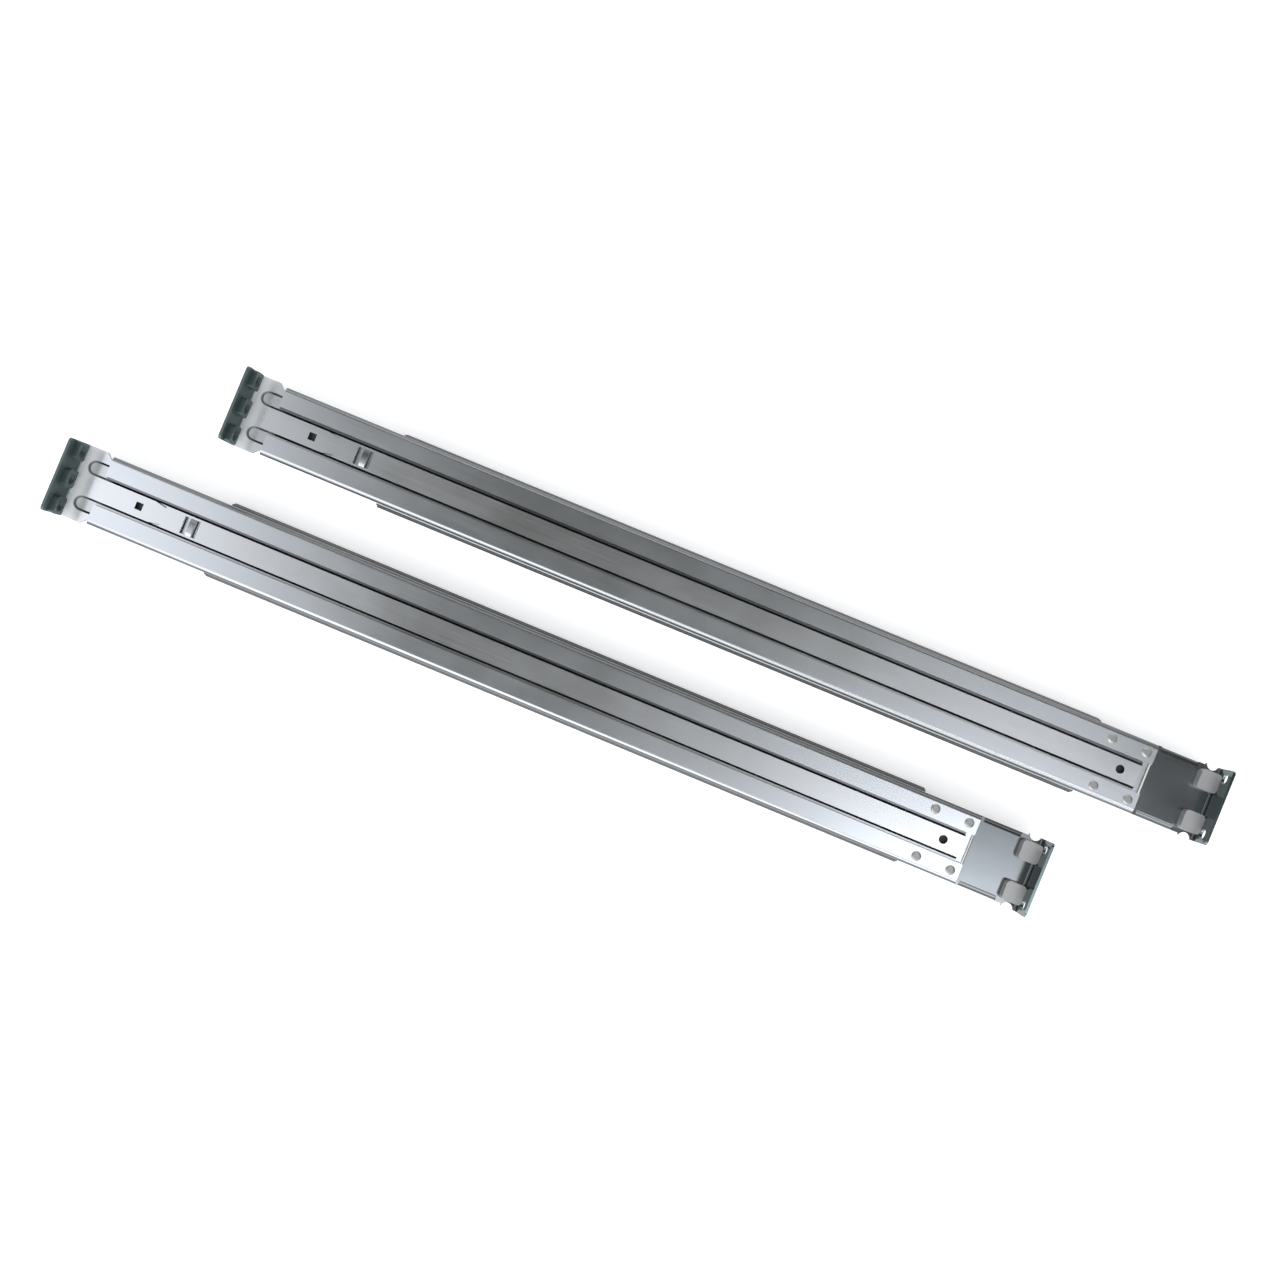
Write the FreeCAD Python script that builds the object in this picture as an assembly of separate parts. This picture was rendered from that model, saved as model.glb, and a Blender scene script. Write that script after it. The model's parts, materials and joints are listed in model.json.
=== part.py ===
"""Sliding server rail pair: two ball-bearing rack rails lying side by side.

Millimetres. Each rail is drawn in its own coordinates: X runs from the outer face of the rear rack
flange (0) to the outer face of the front rack flange (RAIL_LENGTH), Y runs across the rail's height
with 0 on its middle line, and Z runs from the server side (0) to the rack side. The pair's origin is
the bottom centre of the box around both rails.
"""
import FreeCAD, Part
import math
import os

V = FreeCAD.Vector
X_AXIS = V(1, 0, 0)
Y_AXIS = V(0, 1, 0)
Z_AXIS = V(0, 0, 1)

# ---------------------------------------------------------------- the rail as a whole
RAIL_LENGTH = 569.0        # between the outer faces of the two rack flanges, depth set to its shortest
FLANGE_HEIGHT = 42.0       # rack flanges, across the rail
SLIDE_HEIGHT = 44.0        # ball slide: one rack unit less a little air
RAIL_PITCH = 71.8          # between the middle lines of the two rails
RAIL_STAGGER = 73.8        # the right rail lies this much further back

BRACKET_SHEET = 1.5        # rear and front bracket
RAIL_SHEET = 1.2           # outer member, inner member and guide channel
MIDDLE_SHEET = 1.0         # intermediate member
CAGE_SHEET = 0.5           # ball cage strip

RUN_GAP = 0.1              # flat sheet sliding on flat sheet
CAGE_GAP = 0.25            # cage web to the sheets above and below it
END_GAP = 0.4              # between pieces that close up end to end
PIN_GAP = 0.05             # radial, pivot pin in its lever
THROUGH = 1.0              # a cut reaches this far past the faces it goes through

# ---------------------------------------------------------------- rack flanges
EIA_PITCH = 15.875         # rack hole spacing
RACK_HOLE_R = 3.0          # M6 rack screw
REAR_RACK_ROWS = (-1, 0, 1)   # rack holes across each flange, in hole spacings
FRONT_RACK_ROWS = (-1, 1)
RACK_HOLE_RISE = 9.0       # rack hole centres above the bracket plates
REAR_FLANGE_RISE = 19.5    # flange tops above the bracket plates
FRONT_FLANGE_RISE = 16.0
FLANGE_CORNER_R = 2.0
NUT_SIZE = 10.0
NUT_DEPTH = 3.2
NUT_CORNER_R = 1.5

# ---------------------------------------------------------------- guide channel
CHANNEL_START = 17.6       # rear end
CHANNEL_SETBACK = 37.0     # front end, behind the front flange's face
CHANNEL_HALF = 20.0        # outer half height
CHANNEL_ROOM = 2.9         # clear depth between web and lips
LIP_EDGE = 8.5             # half width of the slot between the lips
WALL_BEND_R = 1.4          # to the middle of the sheet
LIP_BEND_R = 2.0
CHANNEL_RIVET_R = 2.0
CHANNEL_RIVET_PAIRS = 3
CHANNEL_RIVET_Y = 13.0
CHANNEL_RIVET_INSET = 20.0 # first and last pair, from the slide's ends

# ---------------------------------------------------------------- front bracket
PLATE_GAP = 0.3            # between the channel's front end and the plate
TONGUE_LENGTH = 32.3
TONGUE_INNER = 11.2        # tongues under the lips start this far out
TONGUE_CORNER_R = 2.0
FRONT_RIVET_R = 1.6
FRONT_RIVET_Y = 13.8
FRONT_RIVET_SETBACKS = (24.9, 5.2)   # behind the channel's front end
RIVET_HEAD_R = 2.7
RIVET_CROWN_R = 1.7
RIVET_HEAD_RISE = 0.9
RIVET_FOOT_R = 2.3
RIVET_FOOT_RISE = 0.5
FRONT_WALL_GAP = 2.0       # from the channel's end to the plate's turned-down walls
FRONT_WALL_LOW = 9.3       # lower edge of those walls
FRONT_WALL_BEND_R = 2.2
NOTCH_LENGTH = 7.0
NOTCH_DEPTH = 2.8
NOTCH_SETBACK = 2.6        # behind the flange's face
NOTCH_CLEAR = 4.0          # between the walls and the notches
BLOCK_LENGTH = 11.0
BLOCK_WIDTH = 11.0
BLOCK_Y = 11.8             # middle of each block
BLOCK_RISE = 5.6           # they end just under the rack screws
BLOCK_CORNER_R = 2.0
BLOCK_CHAMFER = 2.2        # clears the flange's bend

# ---------------------------------------------------------------- rear bracket
REAR_TAPER_END_GAP = 0.3   # the plate has narrowed this far behind the channel
REAR_TAPER_LENGTH = 4.0
ARM_SIDE_GAP = 0.1         # plate to the start of the lip bends
ARM_SETBACK = 4.0          # front end, behind the channel's
ARM_NOSE_GAP = 0.8         # nose to the front bracket's tongues
ARM_WING_GAP = 5.0         # wings to the tongues' ends, and the length of their slant
GROOVE_Y = 10.4            # middle line of each stiffening groove
GROOVE_HALF = 4.3          # half width at the top of a groove
GROOVE_DEPTH = 1.2
GROOVE_START = 5.8
LOCK_HOLE_X = 40.8
LOCK_HOLE_HALF = 2.1
NICK_X = 51.5
NICK_LENGTH = 3.6
NICK_DEPTH = 1.5
LANCE_START = 66.8
LANCE_REAR_SLOT = 3.5
LANCE_BRIDGE = 3.3
LANCE_FRONT_SLOT = 2.5
LANCE_HALF = 4.9
BRIDGE_RISE = 0.7
TIP_HOLE_SETBACK = 10.5
TIP_HOLE_R = 2.4

# ---------------------------------------------------------------- ball slide
SLIDE_LENGTH = 413.0       # outer member
SLIDE_SETBACK = 69.3       # its front end, behind the front flange's face
SLIDE_DEPTH = 10.5         # outer member's web above the server side
OUTER_CORNER_R = 1.2       # bend radii run to the middle of the sheet
OUTER_FILLET_R = 0.7
MIDDLE_SHORTER = 15.0      # intermediate member, less than the outer one
MIDDLE_CORNER_R = 0.7
MIDDLE_FILLET_R = 0.6
MIDDLE_WINDOWS = 4
MIDDLE_WINDOW_HALF = 28.0
MIDDLE_WINDOW_R = 4.0
INNER_LONGER = 12.0        # inner member, more than the outer one
INNER_SETBACK = 4.0        # its rear end, ahead of the intermediate member's
FOLD_R = 0.7               # hem between the inner member's web and its race
FOLD_TURN = 115.0
NOSE_CUT = 5.0             # corners taken off the inner member's front end
NOSE_SLANT = 8.0

BALL_R = 1.25
BALLS_PER_ROW = 3
RACE_GAP = 0.15            # between a ball and its races
RACE_ANGLE = 45.0          # each race reaches this far above and below its balls
CAGE_LENGTH = 150.0
CAGE_CORNER_R = 0.6
CAGE_POCKET_GAP = 0.08
CAGE_WINDOW_INSET = 12.0
CAGE_WINDOW_SHARE = 0.6    # of the cage's half width
INNER_CAGE_INSET = 0.3     # inner cage strip inside its ball centres
INNER_CAGE_DROP = 0.45
OUTER_CAGE_FOOT = 3.6
INNER_CAGE_FOOT = 1.2

BUMPER_LENGTH = 6.0
BUMPER_HALF = 12.0
BUMPER_LOW = 1.5
BUMPER_CORNER_R = 2.0
BUMPER_NOTCH_R = 3.0
BUMPER_NOTCH_TOP = 5.0
STOP_LENGTH = 6.5
STOP_HALF = 10.0
STOP_DEPTH = 2.4
STOP_INSET = 0.5
STOP_CORNER_R = 1.5

KEYHOLE_R = 4.2
KEYHOLE_SLOT_R = 2.2
KEYHOLE_LENGTH = 9.0
KEYHOLE_SHIFT = 20.0       # ahead of each screw hole
SERVER_SCREW_R = 2.1
SERVER_HOLE_COUNT = 3
SERVER_HOLE_STEP = 140.0
SERVER_HOLE_INSET = 18.3   # first hole, from the inner member's rear end

# ---------------------------------------------------------------- release latch
LATCH_SETBACK = 50.7       # pivot, behind the inner member's front end
LATCH_SHEET = 2.0
LATCH_GAP = 0.1            # lever above the web and below the pivot's head
LATCH_HUB_R = 5.0
LATCH_REACH = 40.0         # pivot to finger pad
LATCH_PAD_R = 4.5
LATCH_TAIL = 24.0
LATCH_HOOK = 4.0           # length of the tail's hook
LATCH_HOOK_Y = (7.5, 4.5)  # tip and root of the hook
LATCH_ROOT_HALF = 4.0      # half width of the lever at its pivot
LATCH_NECK_HALF = 2.5      # and at its finger pad
LATCH_TAIL_HEEL = 1.0
GRIP_RIB_R = 0.6
GRIP_RIB_STEP = 1.8
GRIP_RIB_HALF = 2.5
PIVOT_R = 1.5
PIVOT_HEAD_R = 3.0
PIVOT_CROWN_R = 2.2
PIVOT_HEAD_RISE = 0.7
SPRING_SHEET = 0.4
SPRING_HEIGHT = 1.6
SPRING_START = 8.0         # ahead of the pivot
SPRING_LENGTH = 16.0
SPRING_GAP = 0.2
SPRING_BOW = 1.6
SPRING_LIFT = 0.3          # above the inner member's web
LUG_LENGTH = 3.0
LUG_Y = (-10.5, -6.5)

# ---------------------------------------------------------------- derived levels and places
SIN_RACE = math.sin(math.radians(RACE_ANGLE))
COS_RACE = math.cos(math.radians(RACE_ANGLE))
RACE_R = BALL_R + RACE_GAP
FLANGE_HALF = FLANGE_HEIGHT / 2
SLIDE_HALF = SLIDE_HEIGHT / 2

INNER_WEB_Z = RAIL_SHEET / 2
INNER_RACE_R = RACE_R + RAIL_SHEET / 2
INNER_DROP = FOLD_TURN - 90                    # the inner race reaches this far below its balls
INNER_BALL_Z = (INNER_WEB_Z + FOLD_R * (1 - math.cos(math.radians(FOLD_TURN)))
                + INNER_RACE_R * math.sin(math.radians(INNER_DROP)))

MIDDLE_RACE_R = RACE_R + MIDDLE_SHEET / 2
ROW_STEP = 2 * MIDDLE_RACE_R                   # the two ball rows share one S-shaped flange
OUTER_BALL_Y = SLIDE_HALF - RACE_R - RAIL_SHEET
OUTER_BALL_Z = INNER_BALL_Z + ROW_STEP * SIN_RACE
INNER_BALL_Y = OUTER_BALL_Y - ROW_STEP * COS_RACE
OUTER_RACE_R = RACE_R + RAIL_SHEET / 2

OUTER_WEB_Z = SLIDE_DEPTH - RAIL_SHEET / 2
OUTER_CAGE_Z = SLIDE_DEPTH - RAIL_SHEET - CAGE_GAP - CAGE_SHEET / 2
MIDDLE_TOP = OUTER_CAGE_Z - CAGE_SHEET / 2 - CAGE_GAP
MIDDLE_WEB_Z = MIDDLE_TOP - MIDDLE_SHEET / 2
MIDDLE_UNDER = MIDDLE_TOP - MIDDLE_SHEET
INNER_CAGE_Z = MIDDLE_UNDER - INNER_CAGE_DROP - CAGE_SHEET / 2

CHANNEL_FLOOR = SLIDE_DEPTH + RAIL_SHEET
LIP_UNDER = CHANNEL_FLOOR + CHANNEL_ROOM
LIP_TOP = LIP_UNDER + RAIL_SHEET
REAR_PLATE_TOP = LIP_UNDER - RUN_GAP
FRONT_PLATE_TOP = LIP_UNDER
RACK_HOLE_Z = REAR_PLATE_TOP + RACK_HOLE_RISE

CHANNEL_END = RAIL_LENGTH - CHANNEL_SETBACK
PLATE_START = CHANNEL_END + PLATE_GAP
TONGUE_START = PLATE_START - TONGUE_LENGTH
NOTCH_END = RAIL_LENGTH - NOTCH_SETBACK
NOTCH_START = NOTCH_END - NOTCH_LENGTH
ARM_HALF = CHANNEL_HALF - RAIL_SHEET / 2 - LIP_BEND_R - ARM_SIDE_GAP
ARM_END = CHANNEL_END - ARM_SETBACK
ARM_WING_END = TONGUE_START - ARM_WING_GAP
ARM_NOSE_HALF = TONGUE_INNER - ARM_NOSE_GAP

SLIDE_END = RAIL_LENGTH - SLIDE_SETBACK
SLIDE_START = SLIDE_END - SLIDE_LENGTH
MIDDLE_LENGTH = SLIDE_LENGTH - MIDDLE_SHORTER
MIDDLE_START = SLIDE_START + BUMPER_LENGTH + END_GAP
MIDDLE_END = MIDDLE_START + MIDDLE_LENGTH
INNER_START = MIDDLE_START + INNER_SETBACK
INNER_END = INNER_START + SLIDE_LENGTH + INNER_LONGER
OUTER_CAGE_START = (SLIDE_END + MIDDLE_START - CAGE_LENGTH) / 2
INNER_CAGE_START = (MIDDLE_END + INNER_START - CAGE_LENGTH) / 2

LATCH_PIVOT_X = INNER_END - LATCH_SETBACK
LATCH_LIFT = RAIL_SHEET + LATCH_GAP
SPRING_END_X = LATCH_PIVOT_X + SPRING_START + SPRING_LENGTH


# ---------------------------------------------------------------- shape helpers
def box(x0, x1, y0, y1, z0, z1):
    return Part.makeBox(x1 - x0, y1 - y0, z1 - z0, V(x0, y0, z0))


def rod(radius, length, start, axis):
    return Part.makeCylinder(radius, length, start, axis)


def hole_down(x, y, radius, z_low, z_high):
    """Round cut along Z, reaching a little past both levels."""
    return rod(radius, z_high - z_low + 2 * THROUGH, V(x, y, z_low - THROUGH), Z_AXIS)


def fused(shapes):
    whole = shapes[0].fuse(shapes[1:]) if len(shapes) > 1 else shapes[0]
    return whole.removeSplitter()


def both_sides(shape):
    """The shape and its mirror image across the rail's middle line."""
    return [shape, shape.mirror(V(0, 0, 0), Y_AXIS)]


def extruded(points, direction, start=V(0, 0, 0)):
    """Prism on a closed outline of corner points."""
    moved = [start + point for point in points]
    return Part.Face(Part.makePolygon(moved + moved[:1])).extrude(direction)


def strip_edges(place, heading, path, shift):
    """Edges of a bent strip's centreline, shifted to the left by a distance.

    A step ("run", length) goes straight on; ("bend", radius, turn) turns left where turn is positive.
    Returns the edges and the place and heading at the end.
    """
    edges = []
    for step in path:
        normal = V(0, -math.sin(heading), math.cos(heading))
        if step[0] == "run":
            end = place + V(0, math.cos(heading), math.sin(heading)) * step[1]
            edges.append(Part.makeLine(place + normal * shift, end + normal * shift))
            place = end
            continue
        radius = step[1]
        turn = math.radians(step[2])
        side = math.copysign(1, turn)
        centre = place + normal * (side * radius)
        reach = radius - side * shift
        spots = []
        for part in (0, 0.5, 1):
            angle = heading + turn * part
            spots.append(centre - V(0, -math.sin(angle), math.cos(angle)) * (side * reach))
        edges.append(Part.Arc(*spots).toShape())
        heading += turn
        place = centre - V(0, -math.sin(heading), math.cos(heading)) * (side * radius)
    return edges, place, heading


def roll_formed(half_path, web_z, sheet, x0, x1):
    """A strip of one thickness, bent alike on both sides of the middle line and run along X.

    half_path starts with half of the flat web and walks out to the strip's edge.
    """
    _, edge, heading = strip_edges(V(x0, 0, web_z), 0.0, half_path, 0.0)
    web = ("run", 2 * half_path[0][1])
    whole_path = half_path[:0:-1] + [web] + half_path[1:]
    start = V(x0, -edge.y, edge.z)
    upper, _, _ = strip_edges(start, -heading, whole_path, sheet / 2)
    lower, _, _ = strip_edges(start, -heading, whole_path, -sheet / 2)
    caps = [Part.makeLine(upper[0].Vertexes[0].Point, lower[0].Vertexes[0].Point),
            Part.makeLine(upper[-1].Vertexes[-1].Point, lower[-1].Vertexes[-1].Point)]
    outline = Part.Wire(Part.__sortEdges__(upper + lower + caps))
    return Part.Face(outline).extrude(V(x1 - x0, 0, 0))


def obround(x0, x1, half, z):
    """Closed wire at height z: a slot outline along X with round ends."""
    near = x0 + half
    far = x1 - half
    return Part.Wire([
        Part.makeLine(V(near, half, z), V(far, half, z)),
        Part.Arc(V(far, half, z), V(x1, 0, z), V(far, -half, z)).toShape(),
        Part.makeLine(V(far, -half, z), V(near, -half, z)),
        Part.Arc(V(near, -half, z), V(x0, 0, z), V(near, half, z)).toShape()])


def slot_cut(x0, x1, half, z0, z1):
    """Prism with round ends along the middle line, used to cut slots."""
    return Part.Face(obround(x0, x1, half, z0)).extrude(V(0, 0, z1 - z0))


def rounded_corners(shape, radius, along, test):
    """Fillet the edges that run along one axis and pass the test on their middle point."""
    def wanted(edge):
        run = edge.Vertexes[-1].Point - edge.Vertexes[0].Point
        return run.Length > 0 and abs(run.normalize().dot(along)) > 0.999 and test(edge.CenterOfMass)
    return shape.makeFillet(radius, [edge for edge in shape.Edges if wanted(edge)])


def headed_rivet(x, y, z_low, z_head, shank_r, head_r, crown_r, head_rise):
    """Shank from z_low up to z_head with a low conical head on top."""
    shank = rod(shank_r, z_head - z_low, V(x, y, z_low), Z_AXIS)
    head = Part.makeCone(head_r, crown_r, head_rise, V(x, y, z_head), Z_AXIS)
    return fused([shank, head])


# ---------------------------------------------------------------- rack side: channel and brackets
def bent_flange(flange_x, inward, plate_top, plate_reach, rise, rack_rows):
    """Bracket foot: a plate that turns up into a rack flange.

    flange_x is the flange's outer face and inward is +1 where the plate runs towards +X.
    """
    bend = BRACKET_SHEET                       # inner radius of the bend
    outer = bend + BRACKET_SHEET
    low = plate_top - BRACKET_SHEET
    top = plate_top + rise
    diagonal = 1 - math.sqrt(0.5)

    def at(along, z):
        return V(flange_x + inward * along, -FLANGE_HALF, z)
    outline = Part.Wire([
        Part.makeLine(at(0, top), at(0, low + outer)),
        Part.Arc(at(0, low + outer), at(outer * diagonal, low + outer * diagonal), at(outer, low)).toShape(),
        Part.makeLine(at(outer, low), at(plate_reach, low)),
        Part.makeLine(at(plate_reach, low), at(plate_reach, plate_top)),
        Part.makeLine(at(plate_reach, plate_top), at(outer, plate_top)),
        Part.Arc(at(outer, plate_top), at(BRACKET_SHEET + bend * diagonal, plate_top + bend * diagonal),
                 at(BRACKET_SHEET, plate_top + bend)).toShape(),
        Part.makeLine(at(BRACKET_SHEET, plate_top + bend), at(BRACKET_SHEET, top)),
        Part.makeLine(at(BRACKET_SHEET, top), at(0, top))])
    foot = Part.Face(outline).extrude(V(0, FLANGE_HEIGHT, 0))
    foot = rounded_corners(foot, FLANGE_CORNER_R, X_AXIS, lambda spot: spot.z > top - 0.1)
    holes = [rod(RACK_HOLE_R, BRACKET_SHEET + 2 * THROUGH,
                 V(flange_x - inward * THROUGH, row * EIA_PITCH, RACK_HOLE_Z), X_AXIS * inward)
             for row in rack_rows]
    return foot.cut(holes)


def channel_rivet_spots():
    """Pairs of rivets between the channel's web and the slide's outer member."""
    pitch = (SLIDE_LENGTH - 2 * CHANNEL_RIVET_INSET) / (CHANNEL_RIVET_PAIRS - 1)
    return [(SLIDE_START + CHANNEL_RIVET_INSET + index * pitch, side * CHANNEL_RIVET_Y)
            for index in range(CHANNEL_RIVET_PAIRS) for side in (-1, 1)]


def front_rivet_spots():
    return [(CHANNEL_END - setback, side * FRONT_RIVET_Y)
            for setback in FRONT_RIVET_SETBACKS for side in (-1, 1)]


def guide_channel():
    """C-shaped channel that carries the rear bracket, lips turned in on the rack side."""
    wall = CHANNEL_HALF - RAIL_SHEET / 2
    web_z = SLIDE_DEPTH + RAIL_SHEET / 2
    lip_z = LIP_TOP - RAIL_SHEET / 2
    path = [("run", wall - WALL_BEND_R),
            ("bend", WALL_BEND_R, 90),
            ("run", lip_z - web_z - WALL_BEND_R - LIP_BEND_R),
            ("bend", LIP_BEND_R, 90),
            ("run", wall - LIP_BEND_R - LIP_EDGE)]
    channel = roll_formed(path, web_z, RAIL_SHEET, CHANNEL_START, CHANNEL_END)
    middle = (CHANNEL_FLOOR + LIP_UNDER) / 2
    cuts = [rod(CHANNEL_RIVET_R, middle, V(x, y, 0), Z_AXIS) for x, y in channel_rivet_spots()]
    cuts += [rod(FRONT_RIVET_R, middle, V(x, y, middle), Z_AXIS) for x, y in front_rivet_spots()]
    return channel.cut(cuts)


def channel_rivets():
    """Flush rivets: level with the channel's floor and with the outer member's web inside."""
    low = SLIDE_DEPTH - RAIL_SHEET
    return [rod(CHANNEL_RIVET_R, CHANNEL_FLOOR - low, V(x, y, low), Z_AXIS)
            for x, y in channel_rivet_spots()]


def front_bracket():
    """Front bracket: riveted tongues under the channel's lips, a stiffened plate and the rack flange."""
    foot = bent_flange(RAIL_LENGTH, -1, FRONT_PLATE_TOP, RAIL_LENGTH - PLATE_START, FRONT_FLANGE_RISE,
                       FRONT_RACK_ROWS)
    low = FRONT_PLATE_TOP - BRACKET_SHEET
    wall_start = CHANNEL_END + FRONT_WALL_GAP
    wall_end = NOTCH_START - NOTCH_CLEAR
    # the plate is as high as the channel and the flange a little higher, with a notch in front of the step
    above = FRONT_PLATE_TOP + THROUGH
    step = box(PLATE_START - THROUGH, NOTCH_START, CHANNEL_HALF, FLANGE_HALF + THROUGH, low - THROUGH, above)
    notch_r = NOTCH_LENGTH / 2
    notch = rod(notch_r, BRACKET_SHEET + THROUGH + RUN_GAP,
                V(NOTCH_START + notch_r, FLANGE_HALF - NOTCH_DEPTH + notch_r, low - THROUGH), Z_AXIS)
    corner = box(wall_start, wall_end, CHANNEL_HALF - FRONT_WALL_BEND_R - BRACKET_SHEET / 2,
                 FLANGE_HALF + THROUGH, low - THROUGH, above)
    for trim in (step, notch, corner):
        foot = foot.cut(both_sides(trim))
    wall_y = CHANNEL_HALF - BRACKET_SHEET / 2
    plate_z = FRONT_PLATE_TOP - BRACKET_SHEET / 2
    walls = roll_formed([("run", wall_y - FRONT_WALL_BEND_R), ("bend", FRONT_WALL_BEND_R, -90),
                         ("run", plate_z - FRONT_WALL_BEND_R - FRONT_WALL_LOW)],
                        plate_z, BRACKET_SHEET, wall_start, wall_end)
    tongue = box(TONGUE_START, PLATE_START + THROUGH, TONGUE_INNER, ARM_HALF, low, FRONT_PLATE_TOP)
    tongue = rounded_corners(tongue, TONGUE_CORNER_R, Z_AXIS, lambda spot: spot.x < TONGUE_START + THROUGH)
    bracket = fused([foot, walls] + both_sides(tongue))
    return bracket.cut([hole_down(x, y, FRONT_RIVET_R, low, FRONT_PLATE_TOP)
                        for x, y in front_rivet_spots()])


def front_bracket_rivets():
    """Four rivets through the channel's lips and the bracket's tongues, upset under the tongues."""
    low = FRONT_PLATE_TOP - BRACKET_SHEET
    rivets = []
    for x, y in front_rivet_spots():
        shank = headed_rivet(x, y, low, LIP_TOP, FRONT_RIVET_R, RIVET_HEAD_R, RIVET_CROWN_R, RIVET_HEAD_RISE)
        foot = rod(RIVET_FOOT_R, RIVET_FOOT_RISE, V(x, y, low - RIVET_FOOT_RISE), Z_AXIS)
        rivets.append(fused([shank, foot]))
    return rivets


def front_screw_blocks():
    """Two square blocks welded into the flange's bend under its rack screws, to stiffen it."""
    x1 = RAIL_LENGTH - BRACKET_SHEET
    y0 = BLOCK_Y - BLOCK_WIDTH / 2
    block = box(x1 - BLOCK_LENGTH, x1, y0, y0 + BLOCK_WIDTH, FRONT_PLATE_TOP, FRONT_PLATE_TOP + BLOCK_RISE)
    block = rounded_corners(block, BLOCK_CORNER_R, Z_AXIS, lambda spot: True)
    chamfer = extruded([V(0, 0, 0), V(-BLOCK_CHAMFER, 0, 0), V(0, 0, BLOCK_CHAMFER)],
                       V(0, BLOCK_WIDTH, 0), V(x1, y0, FRONT_PLATE_TOP))
    return both_sides(block.cut(chamfer))


# ---------------------------------------------------------------- rear bracket
def groove_solids():
    """Recess and backing of one rounded stiffening groove, its wall sloping at 45 degrees."""
    top = REAR_PLATE_TOP
    under = top - BRACKET_SHEET
    backing_half = GROOVE_HALF + BRACKET_SHEET * (math.sqrt(2) - 1)
    far = ARM_END + 4 * GROOVE_HALF

    def trough(half, z):
        start = GROOVE_START + GROOVE_HALF
        layers = [obround(start - reach, far, reach, level)
                  for reach, level in ((half, z), (half - GROOVE_DEPTH, z - GROOVE_DEPTH))]
        return Part.makeLoft(layers, True, True).translated(V(0, GROOVE_Y, 0))
    return trough(GROOVE_HALF, top), trough(backing_half, under)


def rear_bracket():
    """Rear bracket: rack flange and a long grooved plate that slides in the guide channel."""
    taper_end = CHANNEL_START - REAR_TAPER_END_GAP
    taper_start = taper_end - REAR_TAPER_LENGTH
    foot = bent_flange(0.0, 1, REAR_PLATE_TOP, taper_start, REAR_FLANGE_RISE, REAR_RACK_ROWS)
    under = REAR_PLATE_TOP - BRACKET_SHEET
    outline = [V(x, half, 0) for x, half in (
        (taper_start, FLANGE_HALF), (taper_end, ARM_HALF), (ARM_WING_END - ARM_WING_GAP, ARM_HALF),
        (ARM_WING_END, ARM_NOSE_HALF), (ARM_END, ARM_NOSE_HALF))]
    outline += [V(spot.x, -spot.y, 0) for spot in reversed(outline)]
    plate = extruded(outline, V(0, 0, BRACKET_SHEET), V(0, 0, under))
    recess, backing = groove_solids()
    keep = fused([box(0, ARM_WING_END - ARM_WING_GAP, -ARM_HALF, ARM_HALF, 0, REAR_PLATE_TOP),
                  box(0, ARM_END, -ARM_NOSE_HALF, ARM_NOSE_HALF, 0, REAR_PLATE_TOP)])
    backings = [solid.common(keep) for solid in both_sides(backing)]
    bracket = fused([foot, plate] + backings).cut(both_sides(recess))
    return fused([bracket.cut(rear_plate_cuts()), bridge()])


def lance_edges():
    """Rear slot's start, the bridge's two ends and the front slot's end."""
    bridge_start = LANCE_START + LANCE_REAR_SLOT
    bridge_end = bridge_start + LANCE_BRIDGE
    return LANCE_START, bridge_start, bridge_end, bridge_end + LANCE_FRONT_SLOT


def rear_plate_cuts():
    """Lock hole, tip hole, the two slots beside the bridge and a nick in each groove's inner wall."""
    low = REAR_PLATE_TOP - BRACKET_SHEET - GROOVE_DEPTH
    bottom, above = low - THROUGH, REAR_PLATE_TOP + THROUGH
    cuts = [box(LOCK_HOLE_X - LOCK_HOLE_HALF, LOCK_HOLE_X + LOCK_HOLE_HALF, -LOCK_HOLE_HALF,
                LOCK_HOLE_HALF, bottom, above),
            hole_down(ARM_END - TIP_HOLE_SETBACK, 0, TIP_HOLE_R, low, REAR_PLATE_TOP)]
    edges = lance_edges()
    for x0, x1 in (edges[:2], edges[2:]):
        cuts.append(box(x0, x1, -LANCE_HALF, LANCE_HALF, bottom, above))
    edge = GROOVE_Y - GROOVE_HALF + RUN_GAP
    nick = extruded([V(NICK_X - NICK_LENGTH, edge, 0), V(NICK_X + NICK_LENGTH, edge, 0),
                     V(NICK_X + NICK_LENGTH, edge - NICK_DEPTH, 0)], V(0, 0, above - bottom),
                    V(0, 0, bottom))
    return cuts + both_sides(nick)


def bridge():
    """Strip between the two slots, bowed up a little as a catch."""
    _, x0, x1, _ = lance_edges()
    top, low = REAR_PLATE_TOP, REAR_PLATE_TOP - BRACKET_SHEET
    outline = Part.Wire([
        Part.Arc(V(x0, -LANCE_HALF, top), V(x0, 0, top + BRIDGE_RISE), V(x0, LANCE_HALF, top)).toShape(),
        Part.makeLine(V(x0, LANCE_HALF, top), V(x0, LANCE_HALF, low)),
        Part.Arc(V(x0, LANCE_HALF, low), V(x0, 0, low + BRIDGE_RISE), V(x0, -LANCE_HALF, low)).toShape(),
        Part.makeLine(V(x0, -LANCE_HALF, low), V(x0, -LANCE_HALF, top))])
    return Part.Face(outline).extrude(V(x1 - x0, 0, 0))


def rear_weld_nuts():
    """Square weld nuts on the inner face of the rear flange."""
    nuts = []
    half = NUT_SIZE / 2
    for row in REAR_RACK_ROWS:
        y = row * EIA_PITCH
        nut = box(BRACKET_SHEET, BRACKET_SHEET + NUT_DEPTH, y - half, y + half,
                  RACK_HOLE_Z - half, RACK_HOLE_Z + half)
        nut = rounded_corners(nut, NUT_CORNER_R, X_AXIS, lambda spot: True)
        nuts.append(nut.cut(rod(RACK_HOLE_R, NUT_DEPTH + 2 * THROUGH,
                                V(BRACKET_SHEET - THROUGH, y, RACK_HOLE_Z), X_AXIS)))
    return nuts


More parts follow.
